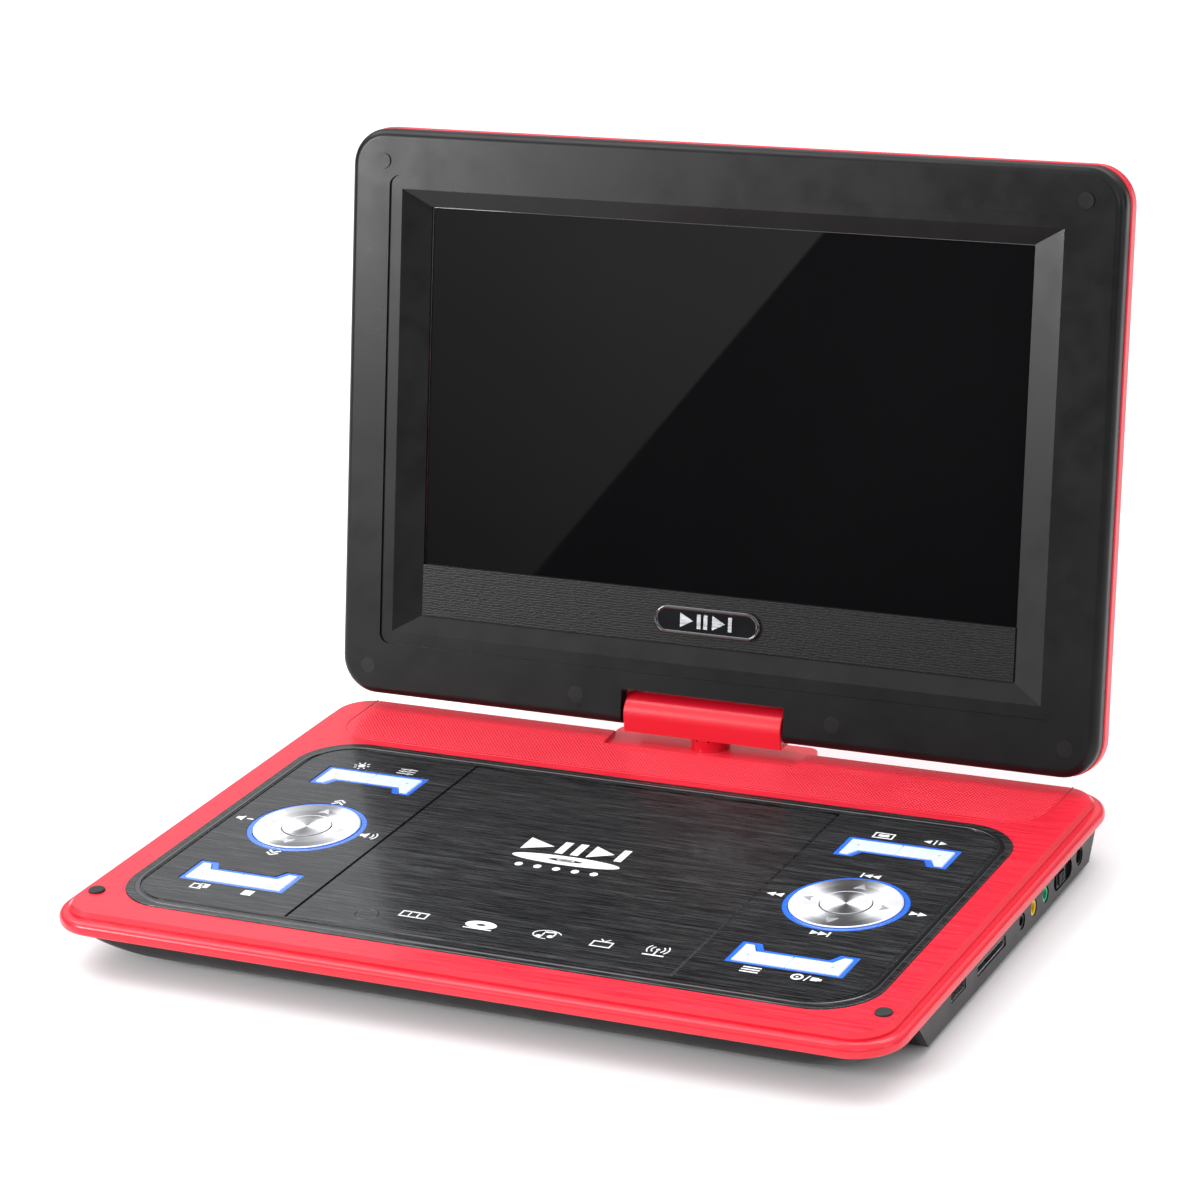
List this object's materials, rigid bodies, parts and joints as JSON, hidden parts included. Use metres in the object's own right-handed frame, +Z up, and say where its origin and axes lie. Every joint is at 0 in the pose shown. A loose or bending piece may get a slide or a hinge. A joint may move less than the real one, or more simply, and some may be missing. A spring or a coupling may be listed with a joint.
{
  "type": "portable dvd player",
  "caption": "Folding disc player with a swivel screen over a base with a lifting disc lid, rocking dials, sprung keys, side sockets and an internal optical drive.",
  "frame": {"origin": "on the surface the feet stand on, under the middle of the player's overall outline with the screen up", "axes": "+X to the player's right, +Y to its rear, +Z up"},
  "size_m": [0.3244, 0.2704, 0.2479],
  "materials": {
    "red_casing": "red satin lacquer with fine brush streaks on the flat top",
    "black_casing": "fine matt moulded grain",
    "black_panel": "smooth satin",
    "black_brushed": "black plastic with level brush streaks under a gloss coat",
    "key_white": "smooth white",
    "clear_blue": "translucent blue",
    "silver": "spun rings",
    "rubber_black": "soft matt",
    "steel": "plain bright steel",
    "board_green": "solder mask",
    "board_black": "moulded housing",
    "silicone": "silicone",
    "battery_wrap": "shrink wrap",
    "motor_steel": "pressed steel can",
    "white_plastic": "moulded",
    "glass_lens": "polished",
    "jack_black": "smooth",
    "jack_yellow": "smooth",
    "jack_green": "smooth",
    "bezel_black": "satin frame with a glossy recess",
    "screen_black": "polished dark panel",
    "strip_grey": "fine wavy hatch",
    "badge_black": "polished black with a chrome edge"
  },
  "bodies": {
    "base": {"base_cover": "red_casing", "fascia_plate": "black_brushed", "base_tub": "black_casing", "connector_panel": "black_panel", "rubber_feet": "rubber_black", "base_screws": "steel", "base_bumpers": "rubber_black", "light_guides": "clear_blue", "key_boards": "board_green", "disc_tray": "board_black", "lid_catch": "white_plastic", "deck_chassis": "steel", "guide_rods": "steel", "deck_dampers": "silicone", "spindle_motor": "motor_steel", "sled_motor": "motor_steel", "battery_pack": "battery_wrap", "main_board": "board_green", "speakers": "motor_steel", "dc_jack": "jack_black", "jack_audio": "jack_green", "jack_video": "jack_yellow", "jack_phone": "jack_black", "usb_socket": "steel", "card_socket": "steel", "power_switch": "board_black", "swivel_plate": "steel", "friction_washer": "white_plastic"},
    "key_backlight": {"key_backlight": "key_white"},
    "key_setup": {"key_setup": "key_white"},
    "key_copy": {"key_copy": "key_white"},
    "key_stop": {"key_stop": "key_white"},
    "key_mode": {"key_mode": "key_white"},
    "key_sound": {"key_sound": "key_white"},
    "key_menu": {"key_menu": "key_white"},
    "key_source": {"key_source": "key_white"},
    "dial_pad_left": {"dial_pad_left": "silicone"},
    "dial_left": {"dial_left": "silver"},
    "dial_button_left": {"dial_button_left": "silver"},
    "dial_pad_right": {"dial_pad_right": "silicone"},
    "dial_right": {"dial_right": "silver"},
    "dial_button_right": {"dial_button_right": "silver"},
    "lid": {"disc_lid": "black_brushed"},
    "spindle": {"turntable": "board_black", "turntable_mat": "rubber_black"},
    "feed_screw": {"lead_screw": "steel"},
    "pickup": {"pickup_sled": "motor_steel", "pickup_lens": "glass_lens"},
    "power_knob": {"power_slider": "black_panel"},
    "hinge": {"hinge_turret": "red_casing", "hinge_barrel": "red_casing", "tilt_clutches": "steel"},
    "screen": {"display_shell": "red_casing", "display_bezel": "bezel_black", "lcd_panel": "screen_black", "driver_board": "board_green", "screen_strip": "strip_grey", "badge": "badge_black", "display_plugs": "rubber_black", "tilt_brackets": "steel"}
  },
  "joints": [
    {"name": "key_backlight_press", "type": "slide", "parent": "base", "child": "key_backlight", "axis": [0, 0, -1], "range_m": [0, 0.0005], "stiffness_N_per_m": 1500, "springref_m": -0.0005},
    {"name": "key_setup_press", "type": "slide", "parent": "base", "child": "key_setup", "axis": [0, 0, -1], "range_m": [0, 0.0005], "stiffness_N_per_m": 1500, "springref_m": -0.0005},
    {"name": "key_copy_press", "type": "slide", "parent": "base", "child": "key_copy", "axis": [0, 0, -1], "range_m": [0, 0.0005], "stiffness_N_per_m": 1500, "springref_m": -0.0005},
    {"name": "key_stop_press", "type": "slide", "parent": "base", "child": "key_stop", "axis": [0, 0, -1], "range_m": [0, 0.0005], "stiffness_N_per_m": 1500, "springref_m": -0.0005},
    {"name": "key_mode_press", "type": "slide", "parent": "base", "child": "key_mode", "axis": [0, 0, -1], "range_m": [0, 0.0005], "stiffness_N_per_m": 1500, "springref_m": -0.0005},
    {"name": "key_sound_press", "type": "slide", "parent": "base", "child": "key_sound", "axis": [0, 0, -1], "range_m": [0, 0.0005], "stiffness_N_per_m": 1500, "springref_m": -0.0005},
    {"name": "key_menu_press", "type": "slide", "parent": "base", "child": "key_menu", "axis": [0, 0, -1], "range_m": [0, 0.0005], "stiffness_N_per_m": 1500, "springref_m": -0.0005},
    {"name": "key_source_press", "type": "slide", "parent": "base", "child": "key_source", "axis": [0, 0, -1], "range_m": [0, 0.0005], "stiffness_N_per_m": 1500, "springref_m": -0.0005},
    {"name": "dial_left_rock_fore_aft", "type": "hinge", "parent": "base", "child": "dial_pad_left", "pos_m": [-0.1077, -0.03897, 0.023], "axis": [1, 0, 0], "range_deg": [-1.2, 1.2], "stiffness_Nm_per_rad": 6},
    {"name": "dial_left_rock_sideways", "type": "hinge", "parent": "dial_pad_left", "child": "dial_left", "pos_m": [-0.1077, -0.03897, 0.023], "axis": [0, 1, 0], "range_deg": [-1.2, 1.2], "stiffness_Nm_per_rad": 6},
    {"name": "dial_button_left_press", "type": "slide", "parent": "base", "child": "dial_button_left", "axis": [0, 0, -1], "range_m": [0, 0.0004], "stiffness_N_per_m": 1800, "springref_m": -0.0005},
    {"name": "dial_right_rock_fore_aft", "type": "hinge", "parent": "base", "child": "dial_pad_right", "pos_m": [0.1077, -0.03897, 0.023], "axis": [1, 0, 0], "range_deg": [-1.2, 1.2], "stiffness_Nm_per_rad": 6},
    {"name": "dial_right_rock_sideways", "type": "hinge", "parent": "dial_pad_right", "child": "dial_right", "pos_m": [0.1077, -0.03897, 0.023], "axis": [0, 1, 0], "range_deg": [-1.2, 1.2], "stiffness_Nm_per_rad": 6},
    {"name": "dial_button_right_press", "type": "slide", "parent": "base", "child": "dial_button_right", "axis": [0, 0, -1], "range_m": [0, 0.0004], "stiffness_N_per_m": 1800, "springref_m": -0.0005},
    {"name": "lid_hinge", "type": "hinge", "parent": "base", "child": "lid", "pos_m": [0, 0.03023, 0.0216], "axis": [-1, 0, 0], "range_deg": [0, 78]},
    {"name": "turntable_spin", "type": "hinge", "parent": "base", "child": "spindle", "pos_m": [0, -0.03897, 0.018], "axis": [0, 0, 1], "continuous": true},
    {"name": "sled_slide", "type": "slide", "parent": "base", "child": "pickup", "axis": [0, 1, 0], "range_m": [0, 0.034]},
    {"name": "lead_screw_turn", "type": "hinge", "parent": "base", "child": "feed_screw", "pos_m": [0.027, -0.00297, 0.0105], "axis": [0, 1, 0], "range_deg": [0, 4080]},
    {"name": "power_slide", "type": "slide", "parent": "base", "child": "power_knob", "axis": [0, 1, 0], "range_m": [0, 0.004]},
    {"name": "display_swivel", "type": "hinge", "parent": "base", "child": "hinge", "pos_m": [0, 0.08423, 0.025], "axis": [0, 0, 1], "range_deg": [-90, 180]},
    {"name": "display_tilt", "type": "hinge", "parent": "hinge", "child": "screen", "pos_m": [0, 0.08423, 0.0329], "axis": [1, 0, 0], "range_deg": [-78.3, 101.7]}
  ],
  "couplings": [
    {"joint": "lead_screw_turn", "follows": "sled_slide", "rad_per_m": 2094.4}
  ]
}
